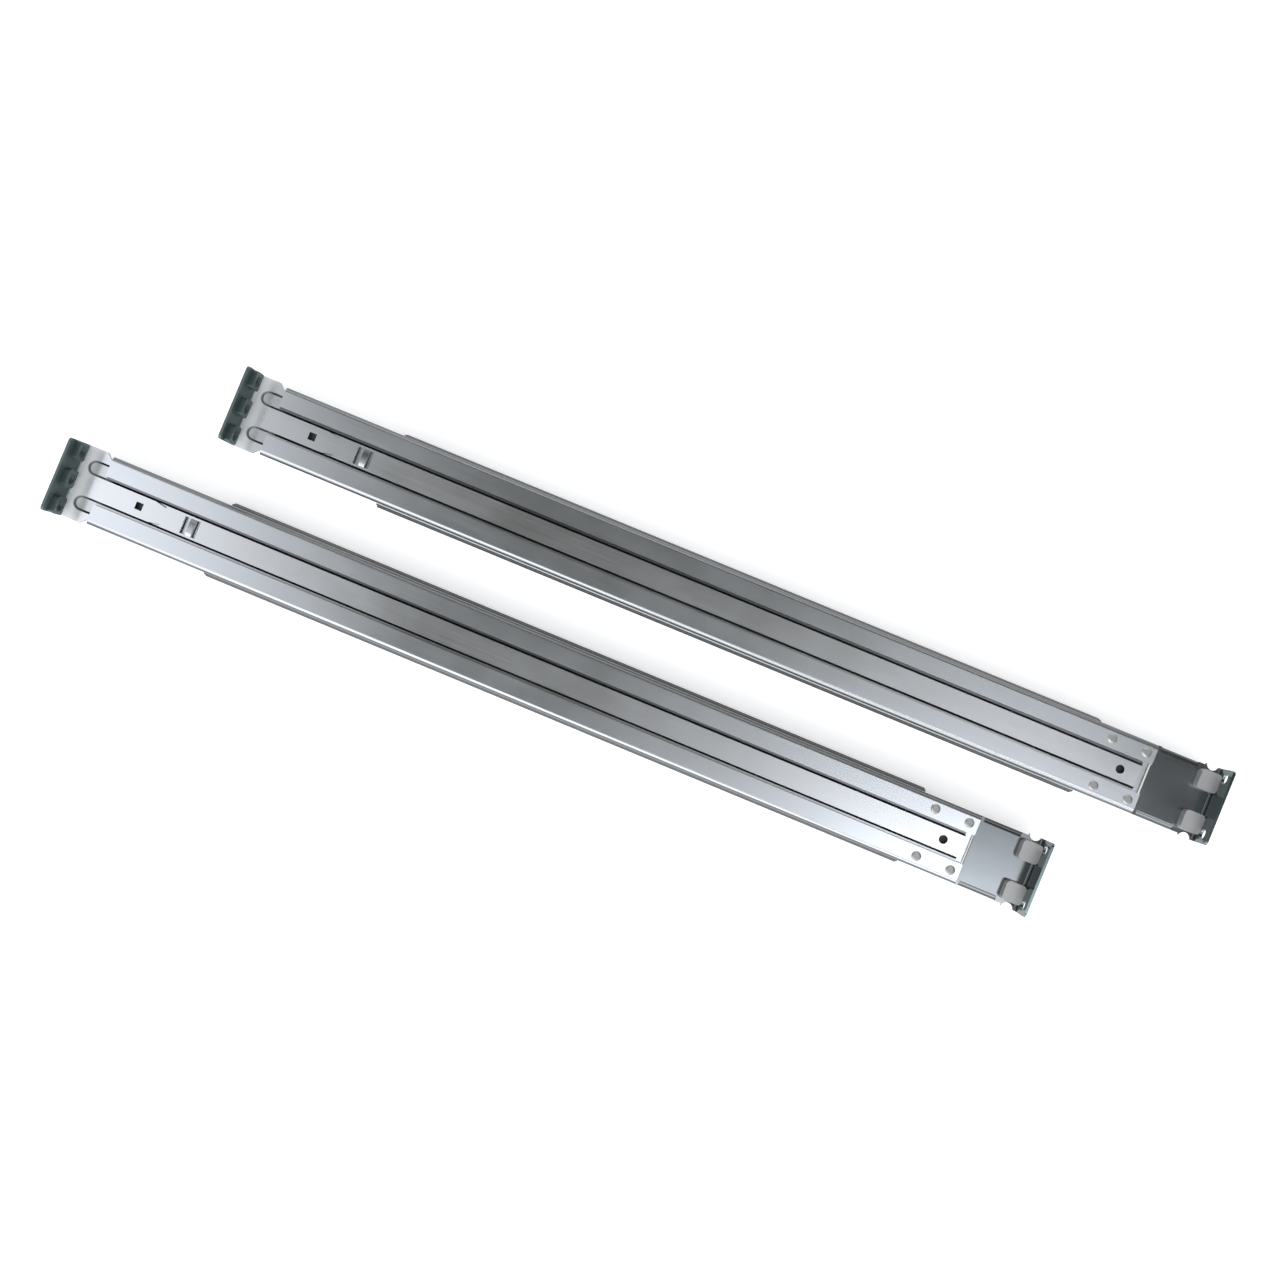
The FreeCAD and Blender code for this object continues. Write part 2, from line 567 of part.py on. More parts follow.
# ---------------------------------------------------------------- ball slide
def outer_member():
    """Outer slide member: the flanges bulge out round the outer ball rows."""
    flange_y = OUTER_BALL_Y + OUTER_RACE_R * COS_RACE - OUTER_FILLET_R * (1 - COS_RACE)
    drop = (OUTER_WEB_Z - OUTER_CORNER_R - OUTER_FILLET_R * SIN_RACE
            - OUTER_BALL_Z - OUTER_RACE_R * SIN_RACE)
    path = [("run", flange_y - OUTER_CORNER_R), ("bend", OUTER_CORNER_R, -90), ("run", drop),
            ("bend", OUTER_FILLET_R, RACE_ANGLE), ("bend", OUTER_RACE_R, -2 * RACE_ANGLE),
            ("bend", OUTER_FILLET_R, RACE_ANGLE)]
    member = roll_formed(path, OUTER_WEB_Z, RAIL_SHEET, SLIDE_START, SLIDE_END)
    return member.cut([hole_down(x, y, CHANNEL_RIVET_R, SLIDE_DEPTH - RAIL_SHEET, SLIDE_DEPTH)
                       for x, y in channel_rivet_spots()])


def intermediate_member():
    """Intermediate member: each flange is an S that holds an outer and an inner ball row."""
    flange_y = OUTER_BALL_Y - MIDDLE_RACE_R * COS_RACE + MIDDLE_FILLET_R * (1 - COS_RACE)
    drop = (MIDDLE_WEB_Z - MIDDLE_CORNER_R - MIDDLE_FILLET_R * SIN_RACE
            - OUTER_BALL_Z - MIDDLE_RACE_R * SIN_RACE)
    path = [("run", flange_y - MIDDLE_CORNER_R), ("bend", MIDDLE_CORNER_R, -90), ("run", drop),
            ("bend", MIDDLE_FILLET_R, -RACE_ANGLE), ("bend", MIDDLE_RACE_R, 2 * RACE_ANGLE),
            ("bend", MIDDLE_RACE_R, -2 * RACE_ANGLE)]
    member = roll_formed(path, MIDDLE_WEB_Z, MIDDLE_SHEET, MIDDLE_START, MIDDLE_END)
    windows = []
    pitch = MIDDLE_LENGTH / MIDDLE_WINDOWS
    for index in range(MIDDLE_WINDOWS):
        middle = MIDDLE_START + (index + 0.5) * pitch
        windows.append(slot_cut(middle - MIDDLE_WINDOW_HALF, middle + MIDDLE_WINDOW_HALF, MIDDLE_WINDOW_R,
                                MIDDLE_UNDER - THROUGH, MIDDLE_TOP + THROUGH))
    return member.cut(windows)


def server_screw_spots():
    first = INNER_START + SERVER_HOLE_INSET
    return [first + index * SERVER_HOLE_STEP for index in range(SERVER_HOLE_COUNT)]


def inner_member():
    """Inner member: hemmed races, keyhole slots and screw holes for the server's side."""
    drop = math.radians(INNER_DROP)
    web_half = INNER_BALL_Y - (INNER_RACE_R + FOLD_R) * math.cos(drop)
    path = [("run", web_half), ("bend", FOLD_R, FOLD_TURN),
            ("bend", INNER_RACE_R, -(INNER_DROP + RACE_ANGLE))]
    member = roll_formed(path, INNER_WEB_Z, RAIL_SHEET, INNER_START, INNER_END)
    # the front end is cut back at the corners so that it finds its way into the slide
    nose = extruded([V(0, 0, 0), V(0, -NOSE_CUT, 0), V(-NOSE_SLANT, 0, 0)], V(0, 0, SLIDE_DEPTH),
                    V(INNER_END, INNER_BALL_Y, -THROUGH))
    cuts = both_sides(nose)
    for x in server_screw_spots():
        keyhole = x + KEYHOLE_SHIFT
        cuts.append(hole_down(x, 0, SERVER_SCREW_R, 0, RAIL_SHEET))
        cuts.append(hole_down(keyhole, 0, KEYHOLE_R, 0, RAIL_SHEET))
        cuts.append(slot_cut(keyhole - KEYHOLE_SLOT_R, keyhole + KEYHOLE_LENGTH, KEYHOLE_SLOT_R,
                             -THROUGH, RAIL_SHEET + THROUGH))
    cuts.append(hole_down(LATCH_PIVOT_X, 0, PIVOT_R, 0, RAIL_SHEET))
    return fused([member.cut(cuts), spring_lug()])


def ball_places(start):
    """Places of one row's balls along its cage."""
    pitch = CAGE_LENGTH / BALLS_PER_ROW
    return [start + (index + 0.5) * pitch for index in range(BALLS_PER_ROW)]


def ball_cage(start, strip_y, web_z, foot_z, ball_z):
    """U-shaped cage strip with a pocket round each ball."""
    path = [("run", strip_y - CAGE_CORNER_R), ("bend", CAGE_CORNER_R, -90),
            ("run", web_z - CAGE_CORNER_R - foot_z)]
    end = start + CAGE_LENGTH
    cage = roll_formed(path, web_z, CAGE_SHEET, start, end)
    cuts = [rod(BALL_R + CAGE_POCKET_GAP, SLIDE_HEIGHT, V(x, -SLIDE_HALF, ball_z), Y_AXIS)
            for x in ball_places(start)]
    cuts.append(slot_cut(start + CAGE_WINDOW_INSET, end - CAGE_WINDOW_INSET, strip_y * CAGE_WINDOW_SHARE,
                         web_z - THROUGH, web_z + THROUGH))
    return cage.cut(cuts)


def ball_rows(start, ball_y, ball_z):
    return [Part.makeSphere(BALL_R, V(x, side * ball_y, ball_z))
            for x in ball_places(start) for side in (-1, 1)]


def outer_ball_cage():
    return ball_cage(OUTER_CAGE_START, OUTER_BALL_Y, OUTER_CAGE_Z, OUTER_CAGE_FOOT, OUTER_BALL_Z)


def outer_balls():
    return ball_rows(OUTER_CAGE_START, OUTER_BALL_Y, OUTER_BALL_Z)


def inner_ball_cage():
    return ball_cage(INNER_CAGE_START, INNER_BALL_Y - INNER_CAGE_INSET, INNER_CAGE_Z, INNER_CAGE_FOOT,
                     INNER_BALL_Z)


def inner_balls():
    return ball_rows(INNER_CAGE_START, INNER_BALL_Y, INNER_BALL_Z)


def rear_bumper():
    """Moulded stop under the outer member's web that the sliding members close against."""
    bumper = box(SLIDE_START, SLIDE_START + BUMPER_LENGTH, -BUMPER_HALF, BUMPER_HALF, BUMPER_LOW,
                 SLIDE_DEPTH - RAIL_SHEET)
    bumper = rounded_corners(bumper, BUMPER_CORNER_R, X_AXIS, lambda spot: spot.z < BUMPER_LOW + 0.1)
    return bumper.cut(slot_cut(SLIDE_START - 2 * BUMPER_NOTCH_R, SLIDE_START + BUMPER_NOTCH_R,
                               BUMPER_NOTCH_R, 0, BUMPER_NOTCH_TOP))


def front_bumper():
    """Moulded stop under the front end of the intermediate member's web."""
    x1 = MIDDLE_END - STOP_INSET
    bumper = box(x1 - STOP_LENGTH, x1, -STOP_HALF, STOP_HALF, MIDDLE_UNDER - STOP_DEPTH, MIDDLE_UNDER)
    return rounded_corners(bumper, STOP_CORNER_R, Z_AXIS, lambda spot: True)


# ---------------------------------------------------------------- release latch on the inner member
def release_latch():
    """Flat lever: pivot hub, finger pad towards the front and hooked tail towards the rear."""
    pivot = V(LATCH_PIVOT_X, 0, LATCH_LIFT)
    rise = V(0, 0, LATCH_SHEET)
    root, neck = LATCH_ROOT_HALF, LATCH_NECK_HALF
    hub = rod(LATCH_HUB_R, LATCH_SHEET, pivot, Z_AXIS)
    pad = rod(LATCH_PAD_R, LATCH_SHEET, pivot + V(LATCH_REACH, 0, 0), Z_AXIS)
    arm = extruded([V(0, -root, 0), V(LATCH_REACH, -neck, 0), V(LATCH_REACH, neck, 0), V(0, root, 0)],
                   rise, pivot)
    tail = extruded([V(0, -root, 0), V(0, root, 0), V(LATCH_HOOK - LATCH_TAIL, LATCH_HOOK_Y[1], 0),
                     V(-LATCH_TAIL, LATCH_HOOK_Y[0], 0), V(-LATCH_TAIL, -LATCH_TAIL_HEEL, 0)], rise, pivot)
    ribs = [rod(GRIP_RIB_R, 2 * GRIP_RIB_HALF,
                pivot + V(LATCH_REACH + step * GRIP_RIB_STEP, -GRIP_RIB_HALF, LATCH_SHEET), Y_AXIS)
            for step in (-1, 0, 1)]
    lever = fused([hub, pad, arm, tail] + ribs)
    return lever.cut(rod(PIVOT_R + PIN_GAP, LATCH_SHEET + 2 * THROUGH, pivot - Z_AXIS * THROUGH, Z_AXIS))


def latch_pivot():
    """Shouldered rivet, flush with the server side."""
    return headed_rivet(LATCH_PIVOT_X, 0, 0.0, LATCH_LIFT + LATCH_SHEET + LATCH_GAP, PIVOT_R,
                        PIVOT_HEAD_R, PIVOT_CROWN_R, PIVOT_HEAD_RISE)


def spring_lug():
    """Lug on the inner member's web that holds the latch spring's fixed end."""
    return box(SPRING_END_X, SPRING_END_X + LUG_LENGTH, LUG_Y[0], LUG_Y[1], INNER_WEB_Z,
               RAIL_SHEET + SPRING_LIFT + SPRING_HEIGHT)


def latch_spring():
    """Leaf spring bowed from the lug to the side of the lever."""
    x0 = SPRING_END_X - SPRING_LENGTH
    z = RAIL_SHEET + SPRING_LIFT
    taper = (LATCH_ROOT_HALF - LATCH_NECK_HALF) / LATCH_REACH
    y_lug = sum(LUG_Y) / 2
    y_tip = -(LATCH_ROOT_HALF - taper * SPRING_START) - SPRING_GAP

    def bow(shift):
        spots = [V(SPRING_END_X, y_lug - shift, z),
                 V((x0 + SPRING_END_X) / 2, y_tip - SPRING_BOW - shift, z),
                 V(x0, y_tip - shift, z)]
        return Part.Arc(*spots).toShape()
    near, far = bow(0), bow(SPRING_SHEET)
    ends = [Part.makeLine(near.Vertexes[index].Point, far.Vertexes[index].Point) for index in (0, -1)]
    outline = Part.Wire(Part.__sortEdges__([near, far] + ends))
    return Part.Face(outline).extrude(V(0, 0, SPRING_HEIGHT))


# ---------------------------------------------------------------- the pair
RAIL_PIECES = {
    "guide_channel": guide_channel,
    "channel_rivets": channel_rivets,
    "front_bracket": front_bracket,
    "front_bracket_rivets": front_bracket_rivets,
    "front_screw_blocks": front_screw_blocks,
    "rear_bracket": rear_bracket,
    "rear_weld_nuts": rear_weld_nuts,
    "outer_member": outer_member,
    "rear_bumper": rear_bumper,
    "outer_ball_cage": outer_ball_cage,
    "outer_balls": outer_balls,
    "intermediate_member": intermediate_member,
    "front_bumper": front_bumper,
    "inner_ball_cage": inner_ball_cage,
    "inner_balls": inner_balls,
    "inner_member": inner_member,
    "release_latch": release_latch,
    "latch_pivot": latch_pivot,
    "latch_spring": latch_spring,
}


def rail_offsets():
    """Where each rail's own origin lies in the pair's frame."""
    return {"left": V((RAIL_STAGGER - RAIL_LENGTH) / 2, RAIL_PITCH / 2, 0),
            "right": V((-RAIL_STAGGER - RAIL_LENGTH) / 2, -RAIL_PITCH / 2, 0)}


def main():
    os.makedirs("parts", exist_ok=True)
    for name, make in RAIL_PIECES.items():
        made = make()
        shape = Part.makeCompound(made) if isinstance(made, list) else made
        for side, offset in rail_offsets().items():
            shape.translated(offset).exportStep("parts/%s_%s.step" % (side, name))


main()
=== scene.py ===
"""Looks of the sliding server rail pair: finishes, small pieces, lighting and camera.

Metres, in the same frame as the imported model: +X runs towards the front rack flanges, +Y from the right
rail to the left rail and +Z towards the rack side of the rails.
"""

import json
import math

import bpy
import numpy as np
from bpy.props import FloatProperty, FloatVectorProperty, IntProperty, PointerProperty
from mathutils import Euler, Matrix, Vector


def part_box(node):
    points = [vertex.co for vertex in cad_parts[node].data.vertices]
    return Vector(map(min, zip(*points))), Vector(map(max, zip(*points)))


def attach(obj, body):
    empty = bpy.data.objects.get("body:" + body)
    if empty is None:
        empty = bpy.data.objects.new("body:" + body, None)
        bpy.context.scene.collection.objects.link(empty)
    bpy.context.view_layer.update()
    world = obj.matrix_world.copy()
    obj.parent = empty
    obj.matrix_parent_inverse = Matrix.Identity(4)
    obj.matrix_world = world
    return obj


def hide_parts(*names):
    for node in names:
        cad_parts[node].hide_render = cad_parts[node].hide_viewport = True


bl_info = {
    "name": "Server rail pair",
    "version": (1, 0, 0),
    "blender": (4, 5, 0),
    "location": "View3D > Sidebar > Rails",
    "description": "Finishes, small pieces and studio for a pair of sliding server rails",
    "category": "Object",
}

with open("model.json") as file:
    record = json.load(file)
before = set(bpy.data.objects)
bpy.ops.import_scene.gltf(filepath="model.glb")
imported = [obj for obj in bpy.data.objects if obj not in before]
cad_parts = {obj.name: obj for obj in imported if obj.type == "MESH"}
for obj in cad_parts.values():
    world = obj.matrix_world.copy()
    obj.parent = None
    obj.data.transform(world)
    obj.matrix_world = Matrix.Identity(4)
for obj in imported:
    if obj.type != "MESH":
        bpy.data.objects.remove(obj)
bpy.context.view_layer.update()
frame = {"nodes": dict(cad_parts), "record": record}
SIDES = ("left", "right")
BASE_COLOURS = {entry["slot"]: tuple(entry["base_color"]) for entry in frame["record"]["materials"]}
SLOT_OF_NODE = {part["node"]: part["material_slot"] for part in frame["record"]["subparts"]}

# rear ends of the guide channels, the middle of the two, and how far each end stands from it
CHANNEL_STARTS = [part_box(side + "_guide_channel")[0].x for side in SIDES]
MIDDLE_START = sum(CHANNEL_STARTS) / 2
HALF_STAGGER = (CHANNEL_STARTS[0] - CHANNEL_STARTS[1]) / 2
# middle line of the left rail, and as far to the other side that of the right rail
RAIL_MIDDLE = sum(corner.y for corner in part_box("left_guide_channel")) / 2
# tops of the bracket plates: the screw blocks stand on the front one, and the rear one runs a gap lower
RUN_GAP = 0.0001
FRONT_PLATE_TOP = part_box("left_front_screw_blocks")[0].z
REAR_PLATE_TOP = FRONT_PLATE_TOP - RUN_GAP


# ---------------------------------------------------------------- settings
def colour(name, slot, default=None):
    """A colour setting, which starts at the slot's recorded colour where no other is given."""
    return FloatVectorProperty(name=name, description="Base colour of the " + name.lower(), subtype="COLOR",
                               size=3, min=0, max=1, default=default or BASE_COLOURS[slot])


def share(name, description, default):
    """A setting from 0 to 1."""
    return FloatProperty(name=name, description=description, subtype="FACTOR", min=0, max=1, default=default)


def strength(name, description, default, unit="NONE"):
    """A brightness or a lamp's power."""
    return FloatProperty(name=name, description=description, unit=unit, min=0, default=default)


def length(name, description, default):
    """A length in metres."""
    return FloatProperty(name=name, description=description, unit="LENGTH", subtype="DISTANCE", min=0,
                         default=default)


class RailFinishSettings(bpy.types.PropertyGroup):
    zinc_bracket: colour("Rear bracket zinc", "zinc_bracket")
    zinc_channel: colour("Guide channel zinc", "zinc_channel")
    zinc_slide: colour("Slide member zinc", "zinc_slide")
    front_bracket_steel: colour("Front bracket steel", "front_bracket_steel")
    flange_tone: colour("Rack flanges' dark film", None, (0.135, 0.17, 0.17))
    # painted shade on the channel's floor under the rear bracket's arm
    channel_floor_shade: colour("Grease inside the channel", None, (0.07, 0.075, 0.075))
    # paler painted highlight on the rougher zinc beside the rear bracket's bend
    matt_zinc_highlight: colour("Matt zinc at the rear bend", None, (0.80, 0.82, 0.83))
    block_steel: colour("Screw blocks", "block_steel")
    dark_nut: colour("Weld nuts", "dark_nut")
    rivet_steel: colour("Rivets", "rivet_steel")
    cage_steel: colour("Ball cages", "cage_steel")
    ball_steel: colour("Balls", "ball_steel")
    black_plastic: colour("Bumpers", "black_plastic")
    latch_steel: colour("Latch", "latch_steel")
    spring_steel: colour("Latch spring", "spring_steel")
    grain: share("Grain", "How far the rolled grain lightens and darkens the sheet", 0.12)
    # the three bend shades are painted shade on bends and cut edges, and the hollow shade is painted shade
    # in grooves
    painted_bend_shade: share("Bend shade", "How much darker the brackets are on bends and cut edges", 0.5)
    painted_channel_bend_shade: share("Channel bend shade", "The same on the guide channel", 0.75)
    painted_slide_bend_shade: share("Slide bend shade", "The same on the slide members", 0.85)
    painted_hollow_shade: share("Hollow shade", "How much darker the zinc is inside the pressed grooves", 0.4)
    sheet_roughness: share("Sheet roughness", "Roughness of the zinc plated sheet", 0.22)


class RailPieceSettings(bpy.types.PropertyGroup):
    ball_radius: length("Ball radius", "Radius of the slide's balls", 0.00125)
    thread_pitch: length("Thread pitch", "Pitch of the M6 threads", 0.001)
    thread_depth: length("Thread depth", "Depth of the thread inside its bore", 0.0004)
    segments: IntProperty(name="Segments", description="Facets round each turned piece", min=12, max=96,
                          default=32)


class RailStageSettings(bpy.types.PropertyGroup):
    camera_place: FloatVectorProperty(name="Camera place", description="Where the camera stands",
                                      subtype="TRANSLATION", unit="LENGTH", size=3,
                                      default=(0.0207, -0.0089, 0.7122))
    camera_turn: FloatVectorProperty(name="Camera turn", description="Tilt, lean and turn of the camera",
                                     subtype="EULER", unit="ROTATION", size=3,
                                     default=[math.radians(angle) for angle in (1.25, 0.95, 22.45)])
    focal_length: FloatProperty(name="Focal length", description="Of the lens", unit="CAMERA",
                                default=35.83, min=1)
    ceiling: strength("Ceiling strength", "Light from overhead", 0.14)
    rear_window: strength("Rear window", "Added light from the rear end", 1.45)
    front_window: strength("Front window", "Added light from the front end", 0.95)
    front_card: strength("Front card", "Added light from a card beside the front window", 4.0)
    near_wall: strength("Near wall", "Brightness of the wall on the right rail's side", 1.1)
    far_wall: strength("Far wall", "Brightness of the wall on the left rail's side", 0.1)
    key_power: strength("Key lamp", "Power of the lamp on the right rail's side", 22, "POWER")
    fill_power: strength("Fill lamp", "Power of the lamp on the left rail's side", 10, "POWER")
    floor_white: share("Floor white", "Colour of the floor", 0.8)
    floor_lift: share("Floor lift", "Light added to the floor as the camera sees it", 0.5)


# ---------------------------------------------------------------- shader helpers
def feed(tree, socket, value):
    """Sets a socket to a number or vector, or links it where the value comes from a node."""
    source = value.source if isinstance(value, Value) else value
    if isinstance(source, bpy.types.NodeSocket):
        tree.links.new(source, socket)
    elif socket.type == "RGBA" and len(source) == 3:
        socket.default_value = (*source, 1.0)
    else:
        socket.default_value = source


class Value:
    """A shader value, or a number, whose arithmetic adds Math nodes to its tree."""

    def __init__(self, tree, source):
        self.tree = tree
        self.source = source

    def math(self, operation, *others):
        """The result of a Math node on this value and any others."""
        node = self.tree.nodes.new("ShaderNodeMath")
        node.operation = operation
        for socket, value in zip(node.inputs, (self, *others)):
            feed(self.tree, socket, value)
        return Value(self.tree, node.outputs[0])

    def __add__(self, other):
        return self.math("ADD", other)

    def __sub__(self, other):
        return self.math("SUBTRACT", other)

    def __mul__(self, other):
        return self.math("MULTIPLY", other)

    def __truediv__(self, other):
        return self.math("DIVIDE", other)

    def __rsub__(self, other):
        return Value(self.tree, other).math("SUBTRACT", self)

    def __rtruediv__(self, other):
        return Value(self.tree, other).math("DIVIDE", self)

    __radd__ = __add__
    __rmul__ = __mul__

    def between(self, low, high):
        """Smoothly 0 at low and 1 at high."""
        node = self.tree.nodes.new("ShaderNodeMapRange")
        node.interpolation_type = "SMOOTHSTEP"
        for socket, value in zip(node.inputs, (self, low, high)):
            feed(self.tree, socket, value)
        return Value(self.tree, node.outputs["Result"])

    def within(self, start, end):
        """Smoothly from 0 to 1 over the first range, and back to 0 over the second."""
        return self.between(*start) * (1.0 - self.between(*end))


class Finish:
    """A material with one Principled shader, and the ways to add nodes to it."""

    def __init__(self, name, **constants):
        self.material = bpy.data.materials.new(name)
        self.material.use_nodes = True
        self.tree = self.material.node_tree
        self.tree.nodes.clear()
        self.shader = self.node("BsdfPrincipled", values=constants)
        self.node("OutputMaterial", values={"Surface": self.shader.outputs[0]})
        self.place = self.node("TexCoord").outputs["Object"]
        self.facing = self.node("TexCoord").outputs["Normal"]

    def node(self, kind, settings=None, values=None):
        """Adds a shader node of a type with its settings and the values or links of its inputs."""
        node = self.tree.nodes.new("ShaderNode" + kind)
        for key, value in (settings or {}).items():
            setattr(node, key, value)
        for key, value in (values or {}).items():
            feed(self.tree, node.inputs[key.replace("_", " ") if isinstance(key, str) else key], value)
        return node

    def value(self, node, output):
        """One output of a node, ready for arithmetic."""
        return Value(self.tree, node.outputs[output])

    def axes(self, vector):
        """The three parts of a vector."""
        split = self.node("SeparateXYZ", values={"Vector": vector})
        return [self.value(split, axis) for axis in "XYZ"]

    def scaled(self, factors):
        """Object coordinates with each axis multiplied by a factor."""
        node = self.node("VectorMath", {"operation": "MULTIPLY"}, {0: self.place, 1: factors})
        return node.outputs[0]

    def noise(self, factors, detail=3.0, roughness=0.55):
        """Noise about 0, whose grains are 1/factor metres long on each axis."""
        node = self.node("TexNoise", values={"Vector": self.scaled(factors), "Scale": 1.0,
                                             "Detail": detail, "Roughness": roughness})
        return self.value(node, "Fac") - 0.5

    def mix(self, factor, first, second):
        """The first colour where the factor is 0, and the second where it is 1."""
        node = self.node("Mix", {"data_type": "RGBA"}, {0: factor, 6: first, 7: second})
        return Value(self.tree, node.outputs[2])

    def shaded(self, tint, level):
        """A colour multiplied by a varying level."""
        node = self.node("VectorMath", {"operation": "SCALE"}, {0: tint, "Scale": level})
        return Value(self.tree, node.outputs[0])

    def surface(self, tint, roughness=None, height=None, bump=0.3):
        """Feeds what varies to the shader; height is in metres and bump is its strength."""
        feed(self.tree, self.shader.inputs["Base Color"], tint)
        if roughness is not None:
            feed(self.tree, self.shader.inputs["Roughness"], roughness)
        if height is not None:
            bumped = self.node("Bump", values={"Height": height, "Distance": 1.0, "Strength": bump})
            feed(self.tree, self.shader.inputs["Normal"], bumped.outputs[0])
        return self.material


# ---------------------------------------------------------------- finishes
MATERIAL_NAMES = {
    "zinc_bracket": "rear bracket zinc", "zinc_channel": "guide channel zinc", "zinc_slide": "slide zinc",
    "front_bracket_steel": "front bracket steel", "cage_steel": "cage steel",
    "block_steel": "screw block steel", "dark_nut": "weld nut steel", "rivet_steel": "rivet steel",
    "ball_steel": "ball steel", "latch_steel": "latch steel", "spring_steel": "spring steel",
    "black_plastic": "bumper plastic",
}
# how much darker or paler than their settings these finishes are
TONES = {"front_bracket_steel": 0.62, "rivet_steel": 0.78, "block_steel": 1.25}

# noise grains in a metre along X, Y and Z
LONG_GRAIN = (14, 2600, 2600)
FINE_GRAIN = (60, 6000, 6000)
CLOUDS = (26, 40, 40)
SPECKS = (1800, 1800, 1800)
WEAR = (160, 160, 160)
MOULD_TEXTURE = (2500, 2500, 2500)

# Each pair of limits below says where a finish begins to change and where the change is complete.
# the upward part of a face's normal
LEVEL_FACE = (0.85, 0.95)
FLAT_FACE = (0.87, 0.995)
# metres ahead of the guide channel's rear end
CHANNEL_EDGE = (-0.0005, 0.0005)
MATT_AND_HIGHLIGHT_EDGE = (-0.0115, -0.0035)
FLOOR_SHADE_GAP = ((0.040, 0.045), (0.062, 0.067))
FLOOR_SHADE_END = (0.508, 0.509)
# metres from the rail's middle line
FLOOR_SHADE_EDGE = (0.0026, 0.0036)
GROOVES_PARTED = (-0.001, 0.001)
# metres above the top of a bracket's plate
GROOVE_MOUTH = (-0.0005, -0.0001)
LANCE_BRIDGE = (0.0002, 0.0005)
FLOOR_SHADE_TOP = (-0.0012, -0.0002)
REAR_FLANGE_TONE = (0.0002, 0.0010)
FRONT_FLANGE_TONE = (0.0010, 0.0040)

# how far the fine grain, in shares of the grain, and the clouds change the sheet's brightness
FINE_SHARE = 0.5
CLOUD_SHADE = 0.05
# how far the rolled lines and the clouds change its roughness
LINE_ROUGHNESS = 0.10
CLOUD_ROUGHNESS = 0.12
# heights of the rolled lines and of the fine grain
LINE_HEIGHT = 0.000004
FINE_HEIGHT = 0.000001
# a groove's painted shade in shares of the hollow shade: behind the channel, inside it, and more on the
# left there, the side away from the key lamp
GROOVE_WALLS = (1.8, 0.45, 0.25)
GROOVE_FLOORS = (0.35, 0.70, 1.0)
# how much painted shade darkens the lance bridge inside the channel
BRIDGE_SHADE = 0.45
# matt zinc and the painted shade on the channel's floor are rougher than the sheet, and matt zinc is cloudy,
# less metallic and paler by a painted highlight
MATT_ROUGHNESS = 0.3
MATT_METAL_LOSS = 0.85
MATT_AND_HIGHLIGHT_CLOUDS = 0.6
FLOOR_SHADE_ROUGHNESS = 0.3

# small plated pieces
WEAR_ROUGHNESS = 0.15
SPECK_HEIGHT = 0.00001
# moulded pieces
MOULDED_ROUGHNESS = 0.55
TEXTURE_SHADE = 0.3
TEXTURE_ROUGHNESS = 0.2
TEXTURE_HEIGHT = 0.00003


def above(height, limits):
    """The limits of a height, measured up from another height."""
    return [height + limit for limit in limits]


class RolledSheet(Finish):
    """Zinc plated sheet: long rolled grain, faint clouds in the plating, and painted shade on bends and cut
    edges.
    """

    def __init__(self, name, tint, roughness, grain, painted_bend_shade):
        super().__init__(name, Metallic=1.0)
        self.tint = tint
        self.lines = self.noise(LONG_GRAIN, 3.0, 0.6)
        self.fine = self.noise(FINE_GRAIN, 1.0)
        self.clouds = self.noise(CLOUDS)
        self.x, self.y, self.height = self.axes(self.place)
        self.upward = self.axes(self.facing)[2]
        # painted shade: faces that lean away from level, as on bends and cut edges, are darker by the bend
        # shade
        flat = self.upward.math("ABSOLUTE").between(*FLAT_FACE)
        level = 1.0 + self.lines * grain + self.fine * (grain * FINE_SHARE) + self.clouds * CLOUD_SHADE
        self.level = level * (1.0 - painted_bend_shade + flat * painted_bend_shade)
        self.rough = roughness + self.lines * LINE_ROUGHNESS + self.clouds * CLOUD_ROUGHNESS

    def ahead(self):
        """Distance ahead of the rear end of the rail's guide channel."""
        return self.x - MIDDLE_START - self.y.math("SIGN") * HALF_STAGGER

    def across(self):
        """Distance to the left of the rail's middle line."""
        return self.y - self.y.math("SIGN") * RAIL_MIDDLE

    def tinted(self):
        """The sheet's colour, lightened and darkened by its grain, its clouds and its painted shade."""
        return self.shaded(self.tint, self.level)

    def finished(self, base):
        """Feeds the colour, the roughness and the grain's height to the shader."""
        return self.surface(base, self.rough, self.lines * LINE_HEIGHT + self.fine * FINE_HEIGHT)


def plain_sheet(name, tint, roughness, grain, painted_bend_shade):
    """Sheet with nothing but its rolled grain, its clouds and the painted shade on its bends."""
    sheet = RolledSheet(name, tint, roughness, grain, painted_bend_shade)
    return sheet.finished(sheet.tinted())


def front_bracket_sheet(name, tint, roughness, grain, painted_bend_shade, tone):
    """Sheet whose rack flange is darker, from a little above the plate."""
    sheet = RolledSheet(name, tint, roughness, grain, painted_bend_shade)
    darkening = sheet.height.between(*above(FRONT_PLATE_TOP, FRONT_FLANGE_TONE))
    return sheet.finished(sheet.mix(darkening, sheet.tinted(), tone))


def channel_sheet(name, tint, roughness, grain, painted_bend_shade, channel_floor_shade):
    """Sheet with a rougher line of painted shade along the middle of the channel's floor, left out at one
    stretch.
    """
    sheet = RolledSheet(name, tint, roughness, grain, painted_bend_shade)
    ahead = sheet.ahead()
    # painted shade, darker and rougher, along the middle of the channel's floor under the bracket arm, left
    # out at one stretch and ending 508 mm ahead of the channel's rear end
    darkening = 1.0 - sheet.height.between(*above(FRONT_PLATE_TOP, FLOOR_SHADE_TOP))
    darkening = darkening * sheet.upward.between(*LEVEL_FACE)
    darkening = darkening * (1.0 - sheet.across().math("ABSOLUTE").between(*FLOOR_SHADE_EDGE))
    darkening = darkening * (1.0 - ahead.within(*FLOOR_SHADE_GAP)) * (1.0 - ahead.between(*FLOOR_SHADE_END))
    sheet.rough = sheet.rough + darkening * FLOOR_SHADE_ROUGHNESS
    return sheet.finished(sheet.mix(darkening, sheet.tinted(), channel_floor_shade))


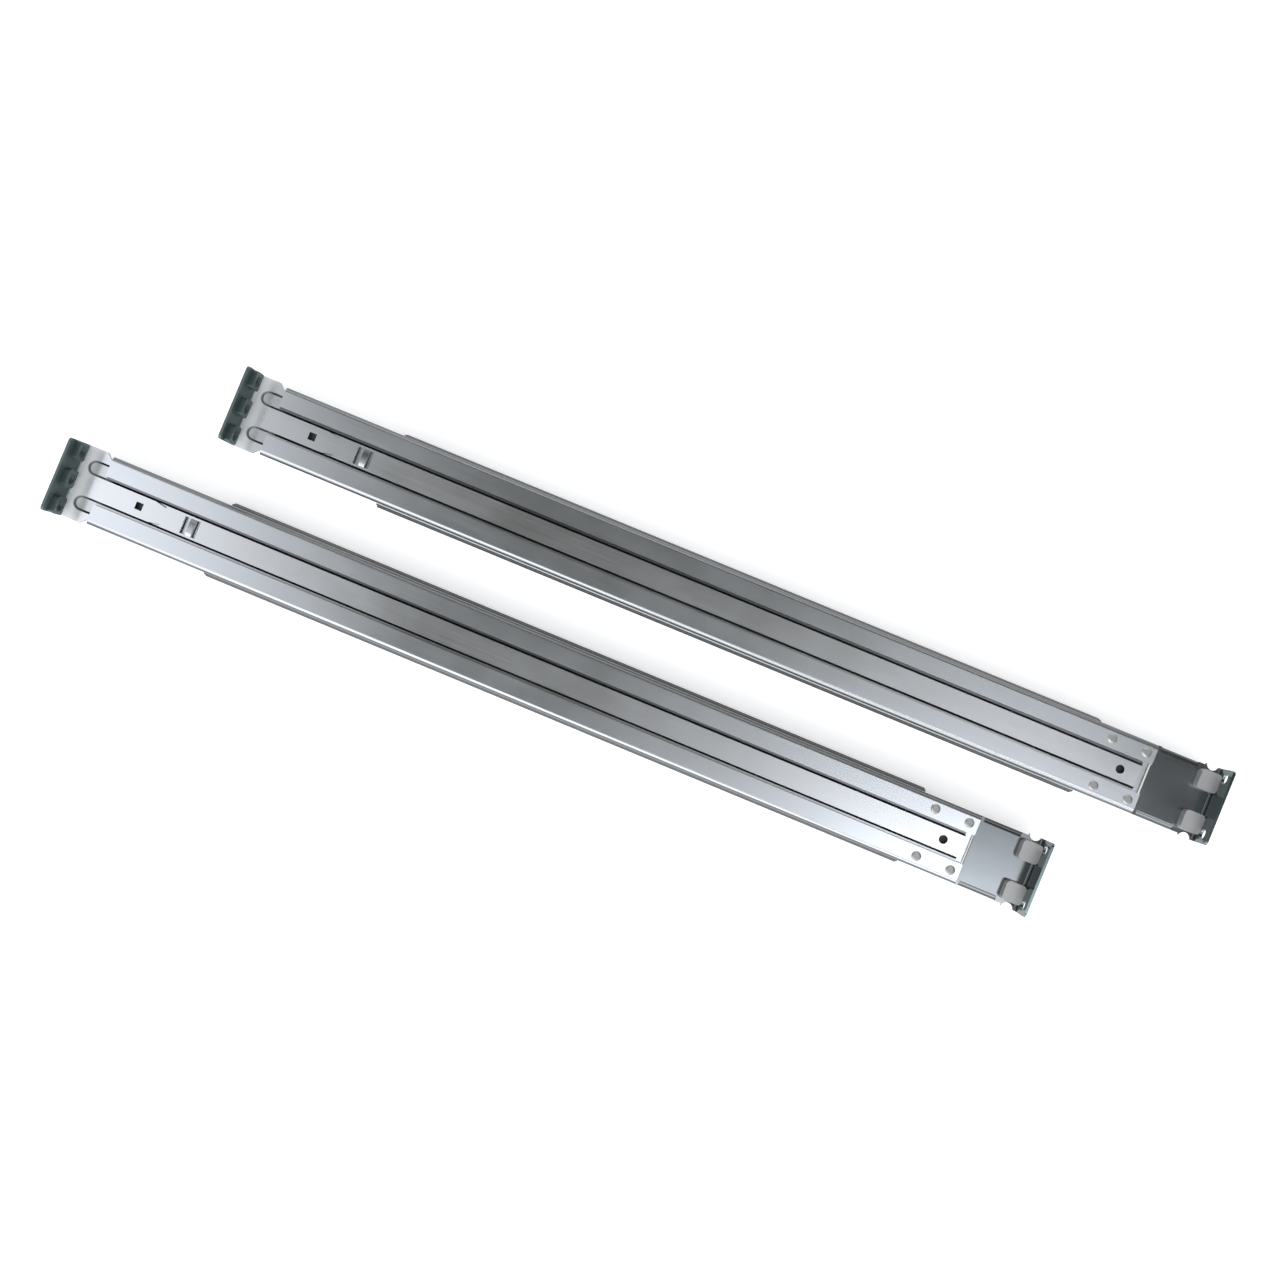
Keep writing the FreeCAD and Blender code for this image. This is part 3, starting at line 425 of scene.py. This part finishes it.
def rear_bracket_sheet(name, tint, roughness, grain, painted_bend_shade, settings):
    """Sheet with painted shade in its grooves and on the lance bridge, a darker rack flange, and a painted
    highlight on rougher zinc beside it.
    """
    sheet = RolledSheet(name, tint, roughness, grain, painted_bend_shade)
    ahead = sheet.ahead()
    covered = ahead.between(*CHANNEL_EDGE)
    left = sheet.across().between(*GROOVES_PARTED)
    # painted shade in the grooves below their mouth, on walls and floors, more on the left groove inside the
    # channel
    walls, floors = (behind + (inside - behind + more * left) * covered
                     for behind, inside, more in (GROOVE_WALLS, GROOVE_FLOORS))
    upright = 1.0 - sheet.upward.math("ABSOLUTE").between(*LEVEL_FACE)
    depth = 1.0 - sheet.height.between(*above(REAR_PLATE_TOP, GROOVE_MOUTH))
    shade = upright * walls + sheet.upward.between(*LEVEL_FACE) * floors
    # painted shade on the lance bridge, which rises above the plate inside the channel
    bridge = sheet.height.between(*above(REAR_PLATE_TOP, LANCE_BRIDGE)) * covered
    sheet.level = sheet.level * (1.0 - depth * settings.painted_hollow_shade * shade) * (1.0 - bridge * BRIDGE_SHADE)

    # rougher, less metallic zinc beside the rack flange, whose paler tint is a painted highlight
    matt_and_highlight = (1.0 - ahead.between(*MATT_AND_HIGHLIGHT_EDGE)) * (1.0 + sheet.clouds * MATT_AND_HIGHLIGHT_CLOUDS)
    sheet.tint = sheet.mix(matt_and_highlight, tint, settings.matt_zinc_highlight)
    sheet.rough = sheet.rough + matt_and_highlight * MATT_ROUGHNESS
    tone = sheet.height.between(*above(FRONT_PLATE_TOP, REAR_FLANGE_TONE)) * (1.0 - covered)
    feed(sheet.tree, sheet.shader.inputs["Metallic"], 1.0 - matt_and_highlight * (1.0 - tone) * MATT_METAL_LOSS)
    return sheet.finished(sheet.mix(tone, sheet.tinted(), settings.flange_tone))


def plain_metal(name, tint, roughness, speckle=0.15, metallic=1.0):
    """Small plated pieces: an even colour with fine speckle and soft wear."""
    finish = Finish(name, Metallic=metallic)
    speck = finish.noise(SPECKS)
    wear = finish.noise(WEAR, 2.0)
    base = finish.shaded(tint, 1.0 + speck * speckle + wear * speckle)
    return finish.surface(base, roughness + wear * WEAR_ROUGHNESS, speck * SPECK_HEIGHT)


def moulded_plastic(name, tint):
    """Black nylon with a fine moulded texture."""
    finish = Finish(name, Metallic=0.0, Specular_IOR_Level=0.4)
    texture = finish.noise(MOULD_TEXTURE)
    base = finish.shaded(tint, 1.0 + texture * TEXTURE_SHADE)
    rough = MOULDED_ROUGHNESS + texture * TEXTURE_ROUGHNESS
    return finish.surface(base, rough, texture * TEXTURE_HEIGHT, bump=0.5)


def make_finishes(settings):
    """The material of each slot in the record.

    The table has each slot's maker with what it takes after the name and the tint: a roughness, then a
    sheet's grain, painted bend shade and the colour or settings of its darker places, or a small piece's
    speckle and how metallic it is.
    """
    rough, grain, bend = settings.sheet_roughness, settings.grain, settings.painted_bend_shade
    makers = {
        "zinc_bracket": (rear_bracket_sheet, rough, grain, bend, settings),
        "zinc_channel": (channel_sheet, rough, grain, settings.painted_channel_bend_shade, settings.channel_floor_shade),
        "zinc_slide": (plain_sheet, rough + 0.08, grain, settings.painted_slide_bend_shade),
        "front_bracket_steel": (front_bracket_sheet, 0.16, 0.04, bend, settings.flange_tone),
        "cage_steel": (plain_sheet, 0.3, 0.08, bend),
        "block_steel": (plain_metal, 0.5, 0.15, 0.8),
        "dark_nut": (plain_metal, 0.4, 0.15, 0.7),
        "rivet_steel": (plain_metal, 0.45),
        "ball_steel": (plain_metal, 0.08, 0.03),
        "latch_steel": (plain_metal, 0.3),
        "spring_steel": (plain_metal, 0.3),
        "black_plastic": (moulded_plastic,),
    }
    finishes = {}
    for slot, (make, *values) in makers.items():
        tint = [TONES.get(slot, 1.0) * part for part in getattr(settings, slot)]
        finishes[slot] = make(MATERIAL_NAMES[slot], tint, *values)
    return finishes


def finish_named(slot):
    """The material that was made for a slot."""
    return bpy.data.materials[MATERIAL_NAMES[slot]]


def assign(obj, material):
    """Makes a material the only one of an object."""
    obj.data.materials.clear()
    obj.data.materials.append(material)


# ---------------------------------------------------------------- mesh helpers
def grid_faces(rows, columns, closed_columns):
    """Quads between neighbouring points of a grid laid out row after row."""
    row, column = np.meshgrid(np.arange(rows - 1), np.arange(columns - (0 if closed_columns else 1)),
                              indexing="ij")
    following = (column + 1) % columns
    corners = (row * columns + column, row * columns + following,
               (row + 1) * columns + following, (row + 1) * columns + column)
    return np.stack([corner.ravel() for corner in corners], axis=1)


def mesh_object(name, points, faces, smooth=True):
    """An object at the origin from an array of points and a list of faces, smooth or faceted."""
    mesh = bpy.data.meshes.new(name)
    mesh.from_pydata(points.tolist(), [], faces)
    mesh.polygons.foreach_set("use_smooth", np.full(len(mesh.polygons), smooth))
    mesh.validate()
    made = bpy.data.objects.new(name, mesh)
    bpy.context.scene.collection.objects.link(made)
    return made


def turned(profile, segments):
    """Points and faces of a profile of (radius, height) rows turned about Z.

    Each point is (radius cos a, radius sin a, height) with a going once round.
    """
    angle = np.linspace(0, 2 * np.pi, segments, endpoint=False)
    radius, height = np.asarray(profile, float).T
    points = np.stack([radius[:, None] * np.cos(angle), radius[:, None] * np.sin(angle),
                       np.repeat(height[:, None], segments, axis=1)], axis=-1)
    return points.reshape(-1, 3), grid_faces(len(radius), segments, True)


def repeated(points, faces, places):
    """The same points and faces at each place."""
    places = np.asarray(places, float)
    moved = (points[None] + places[:, None]).reshape(-1, 3)
    shifts = np.arange(len(places)) * len(points)
    return moved, (faces[None] + shifts[:, None, None]).reshape(-1, faces.shape[1]).tolist()


def islands(node):
    """Centres and half sizes of the separate solids of a CAD node.

    Vertices at one place count as one, and each takes the lowest number that its edges reach, so those of
    one solid end up with the same number.
    """
    mesh = frame["nodes"][node].data
    points = np.empty(len(mesh.vertices) * 3)
    mesh.vertices.foreach_get("co", points)
    points = points.reshape(-1, 3)
    _, same = np.unique(np.round(points, 7), axis=0, return_inverse=True)
    same = same.ravel()
    edges = np.empty(len(mesh.edges) * 2, int)
    mesh.edges.foreach_get("vertices", edges)
    pairs = same[edges.reshape(-1, 2)]
    label = np.arange(same.max() + 1)
    changed = True
    while changed:
        lowest = np.minimum(label[pairs[:, 0]], label[pairs[:, 1]])
        before = label.copy()
        np.minimum.at(label, pairs[:, 0], lowest)
        np.minimum.at(label, pairs[:, 1], lowest)
        changed = bool((label != before).any())
    owner = label[same]
    boxes = [(points[owner == key].min(0), points[owner == key].max(0)) for key in np.unique(owner)]
    return [((low + high) / 2, (high - low) / 2) for low, high in boxes]


# ---------------------------------------------------------------- pieces
class RAILS_OT_finishes(bpy.types.Operator):
    """Give every piece of the rails its plated, dark or moulded finish"""
    bl_idname = "rails.finishes"
    bl_label = "Finishes"

    def execute(self, context):
        finishes = make_finishes(context.scene.rail_finish)
        for node, obj in frame["nodes"].items():
            assign(obj, finishes[SLOT_OF_NODE[node]])
        return {"FINISHED"}


class RAILS_OT_balls(bpy.types.Operator):
    """Put smooth polished balls in both races of each rail"""
    bl_idname = "rails.balls"
    bl_label = "Balls"

    def execute(self, context):
        settings = context.scene.rail_pieces
        around = settings.segments
        # half circle from pole to pole: (sin t, -cos t) with t from 0 to pi
        sweep = np.linspace(0, np.pi, around // 2 + 1)
        profile = settings.ball_radius * np.stack([np.sin(sweep), -np.cos(sweep)], axis=1)
        points, faces = turned(profile, around)
        for side in SIDES:
            for ring, body in (("outer_balls", "outer_cage"), ("inner_balls", "inner_cage")):
                node = f"{side}_{ring}"
                places = [centre for centre, _ in islands(node)]
                balls = mesh_object(node + "_polished", *repeated(points, faces, places))
                assign(balls, finish_named("ball_steel"))
                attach(balls, f"{side}_{body}")
                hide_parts(node)
        return {"FINISHED"}


# corners of the thread ridge's section in pitches along the bore: its foot, its crest and its other foot
RIDGE_SECTION = np.array([0.05, 0.45, 0.85])


def thread_ridge(radius, depth, pitch, start, end, segments):
    """Points and faces of a triangular ridge wound along X inside a bore.

    At turn angle a the section's three corners stand at (x, r cos a, r sin a), where x is
    start + pitch a / 2 pi plus the corner's shift, and r is the bore's radius or less by the depth.
    """
    turns = (end - start) / pitch - (RIDGE_SECTION[0] + RIDGE_SECTION[-1])
    angle = np.linspace(0, 2 * np.pi * turns, int(segments * turns) + 1)
    reach = np.array([radius, radius - depth, radius])
    along = start + pitch * angle[:, None] / (2 * np.pi) + pitch * RIDGE_SECTION
    points = np.stack([along, reach * np.cos(angle)[:, None], reach * np.sin(angle)[:, None]], axis=-1)
    rows = len(angle)
    quads = grid_faces(rows, len(reach), True).tolist()
    last = (rows - 1) * len(reach)
    return points.reshape(-1, 3), quads + [[0, 1, 2], [last + 2, last + 1, last]]


class RAILS_OT_threads(bpy.types.Operator):
    """Cut the screw threads' ridges in the rear weld nuts"""
    bl_idname = "rails.threads"
    bl_label = "Nut threads"

    def execute(self, context):
        settings = context.scene.rail_pieces
        holes = {mount["name"]: mount for mount in frame["record"]["mounts"]}
        for side in SIDES:
            mount = holes[side + "_rear_rack_holes"]
            radius = mount["dims"]["hole_r_mm"] / 1000
            points, faces, count = [], [], 0
            for centre, half in islands(side + "_rear_weld_nuts"):
                low, high = centre[0] - half[0], centre[0] + half[0]
                ridge, ridge_faces = thread_ridge(radius, settings.thread_depth, settings.thread_pitch,
                                                  low, high, settings.segments)
                points.append(ridge + np.array([0, centre[1], mount["pos_m"][2]]))
                faces += [[corner + count for corner in face] for face in ridge_faces]
                count += len(ridge)
            threads = mesh_object(side + "_nut_threads", np.concatenate(points), faces, smooth=False)
            assign(threads, finish_named("dark_nut"))
            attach(threads, side + "_rear_bracket_slider")
        return {"FINISHED"}


# ---------------------------------------------------------------- stage
KEY_PLACE = (0.15, -1.5, 0.95)
FILL_PLACE = (-0.2, 1.6, 0.9)
LAMP_SIZE = (2.4, 1.2)
FLOOR_REACH = 30.0
FLOOR_CLOUDS = (3, 3, 3)
FLOOR_CLOUD_SHADE = 0.002
ROOM_TINT = (1.0, 1.02, 0.97)
WINDOW_TINT = (0.95, 0.98, 1.04)

# Edges of what is overhead, from where it begins to where it is full, in slopes from straight up. Both
# windows are wider to the right, where each lean moves its edge by that much of the slope to the right.
# A direction that rises less than the least rise is taken to rise by it.
LEAST_RISE = 0.2
REAR_WINDOW_LEAN = 0.47
REAR_WINDOW_EDGE = (0.22, 0.49)
FRONT_WINDOW_LEAN = 0.85
FRONT_WINDOW_EDGE = (-0.03, 0.30)
POST_FRONT = (0.28, 0.38)
POST_LEFT = (-0.01, 0.03)
CARD_SIDES = ((0.046, 0.064), (0.10, 0.18))
CARD_ENDS = ((0.13, 0.27), (0.5, 0.7))
# how far a direction points up where the walls give way to what is overhead, and the sweep to the walls
WALL_TOP = (0.55, 0.85)
SWEEP_TOP = (0.26, 0.34)
# how far a direction points to the right where the near wall's light begins and is full
NEAR_WALL_TURN = (-0.35, 0.55)
# brightness from which the light takes the windows' tint, and how much less of it the sweep has
WINDOW_TINTED = (0.25, 0.9)
SWEEP_TINT_LOSS = 0.45


def lamp(name, place, power):
    """A rectangular soft lamp that looks at the middle of the rails."""
    data = bpy.data.lights.new(name, "AREA")
    data.shape = "RECTANGLE"
    data.size, data.size_y = LAMP_SIZE
    data.energy = power
    made = bpy.data.objects.new(name, data)
    made.location = place
    made.rotation_euler = (-Vector(place)).to_track_quat("-Z", "Y").to_euler()
    bpy.context.scene.collection.objects.link(made)


def studio_world(settings):
    """A dim room with a window beyond each end of the rails, above a white sweep round the horizon.

    A direction is read as its slopes from straight up, towards the front and towards the left or right
    rail. The flat tops of the rails mirror what is overhead, each place what lies along its own slopes.
    Lower directions see the walls, and the lowest the white sweep behind the floor.
    """
    world = bpy.data.worlds.new("studio")
    world.use_nodes = True
    bpy.context.scene.world = world
    tree = world.node_tree
    tree.nodes.clear()
    coordinates = tree.nodes.new("ShaderNodeTexCoord")
    split = tree.nodes.new("ShaderNodeSeparateXYZ")
    tree.links.new(coordinates.outputs["Generated"], split.inputs[0])
    along, across, up = (Value(tree, split.outputs[axis]) for axis in "XYZ")
    rise = up.math("MAXIMUM", LEAST_RISE)
    front, left = along / rise, across / rise
    right = -1.0 * left
    rear_window = (REAR_WINDOW_LEAN * right - front).between(*REAR_WINDOW_EDGE)
    post = front.between(*POST_FRONT) * left.between(*POST_LEFT)
    front_window = (front + FRONT_WINDOW_LEAN * right).between(*FRONT_WINDOW_EDGE) * (1.0 - post)
    card = right.within(*CARD_SIDES) * front.within(*CARD_ENDS)
    overhead = (settings.ceiling + rear_window * settings.rear_window
                + front_window * settings.front_window + card * settings.front_card)
    wall = settings.far_wall + (-1.0 * across).between(*NEAR_WALL_TURN) * settings.near_wall
    low = 1.0 - up.between(*WALL_TOP)
    sweep = 1.0 - up.between(*SWEEP_TOP)
    level = (overhead * (1.0 - low) + wall * low) * (1.0 - sweep) + sweep
    daylight = level.between(*WINDOW_TINTED) * (1.0 - sweep * SWEEP_TINT_LOSS)
    tint = tree.nodes.new("ShaderNodeMix")
    tint.data_type = "RGBA"
    for socket, value in ((0, daylight), (6, ROOM_TINT), (7, WINDOW_TINT)):
        feed(tree, tint.inputs[socket], value)
    background = tree.nodes.new("ShaderNodeBackground")
    feed(tree, background.inputs["Color"], Value(tree, tint.outputs[2]))
    feed(tree, background.inputs["Strength"], level)
    output = tree.nodes.new("ShaderNodeOutputWorld")
    tree.links.new(background.outputs[0], output.inputs[0])


def floor_material(settings):
    """Matt white floor that takes the rails' shadow, lifted a little where the camera or metal sees it."""
    finish = Finish("studio floor", Roughness=0.9, Specular_IOR_Level=0.0)
    white = settings.floor_white
    clouds = finish.noise(FLOOR_CLOUDS, 2.0)
    path = finish.node("LightPath")
    seen = finish.value(path, "Is Camera Ray")
    for ray in ("Is Glossy Ray", "Is Transmission Ray"):
        seen = seen.math("MAXIMUM", finish.value(path, ray))
    feed(finish.tree, finish.shader.inputs["Emission Color"], finish.shaded((1, 1, 1), seen))
    finish.shader.inputs["Emission Strength"].default_value = settings.floor_lift
    return finish.surface(finish.shaded((white, white, white), 1.0 + clouds * FLOOR_CLOUD_SHADE))


class RAILS_OT_stage(bpy.types.Operator):
    """Build the floor, the soft studio light and the camera"""
    bl_idname = "rails.stage"
    bl_label = "Stage"

    def execute(self, context):
        settings = context.scene.rail_stage
        scene = context.scene
        scene.view_settings.view_transform = "Standard"
        corners = FLOOR_REACH * np.array([(-1, -1, 0), (1, -1, 0), (1, 1, 0), (-1, 1, 0)])
        floor = mesh_object("studio_floor", corners, [[0, 1, 2, 3]])
        assign(floor, floor_material(settings))
        studio_world(settings)
        lamp("key_lamp", KEY_PLACE, settings.key_power)
        lamp("fill_lamp", FILL_PLACE, settings.fill_power)
        data = bpy.data.cameras.new("rail_camera")
        data.lens = settings.focal_length
        camera = bpy.data.objects.new("rail_camera", data)
        camera.location = settings.camera_place
        camera.rotation_euler = Euler(settings.camera_turn)
        scene.collection.objects.link(camera)
        scene.camera = camera
        return {"FINISHED"}


class RAILS_PT_panel(bpy.types.Panel):
    """Sidebar panel with the pieces, the finishes and the stage"""
    bl_label = "Server rails"
    bl_space_type = "VIEW_3D"
    bl_region_type = "UI"
    bl_category = "Rails"

    def draw(self, context):
        for group, operators in ((context.scene.rail_finish, (RAILS_OT_finishes,)),
                                 (context.scene.rail_pieces, (RAILS_OT_balls, RAILS_OT_threads)),
                                 (context.scene.rail_stage, (RAILS_OT_stage,))):
            section = self.layout.box()
            for name in group.__annotations__:
                section.prop(group, name)
            for operator in operators:
                section.operator(operator.bl_idname)


GROUPS = {
    "rail_finish": RailFinishSettings,
    "rail_pieces": RailPieceSettings,
    "rail_stage": RailStageSettings,
}
CLASSES = (*GROUPS.values(), RAILS_OT_finishes, RAILS_OT_balls, RAILS_OT_threads, RAILS_OT_stage,
           RAILS_PT_panel)


def register():
    for item in CLASSES:
        bpy.utils.register_class(item)
    for name, group in GROUPS.items():
        setattr(bpy.types.Scene, name, PointerProperty(type=group))


def unregister():
    for name in GROUPS:
        delattr(bpy.types.Scene, name)
    for item in reversed(CLASSES):
        bpy.utils.unregister_class(item)


def main():
    register()
    bpy.ops.rails.finishes()
    bpy.ops.rails.balls()
    bpy.ops.rails.threads()
    bpy.ops.rails.stage()


if __name__ == "__main__":
    main()
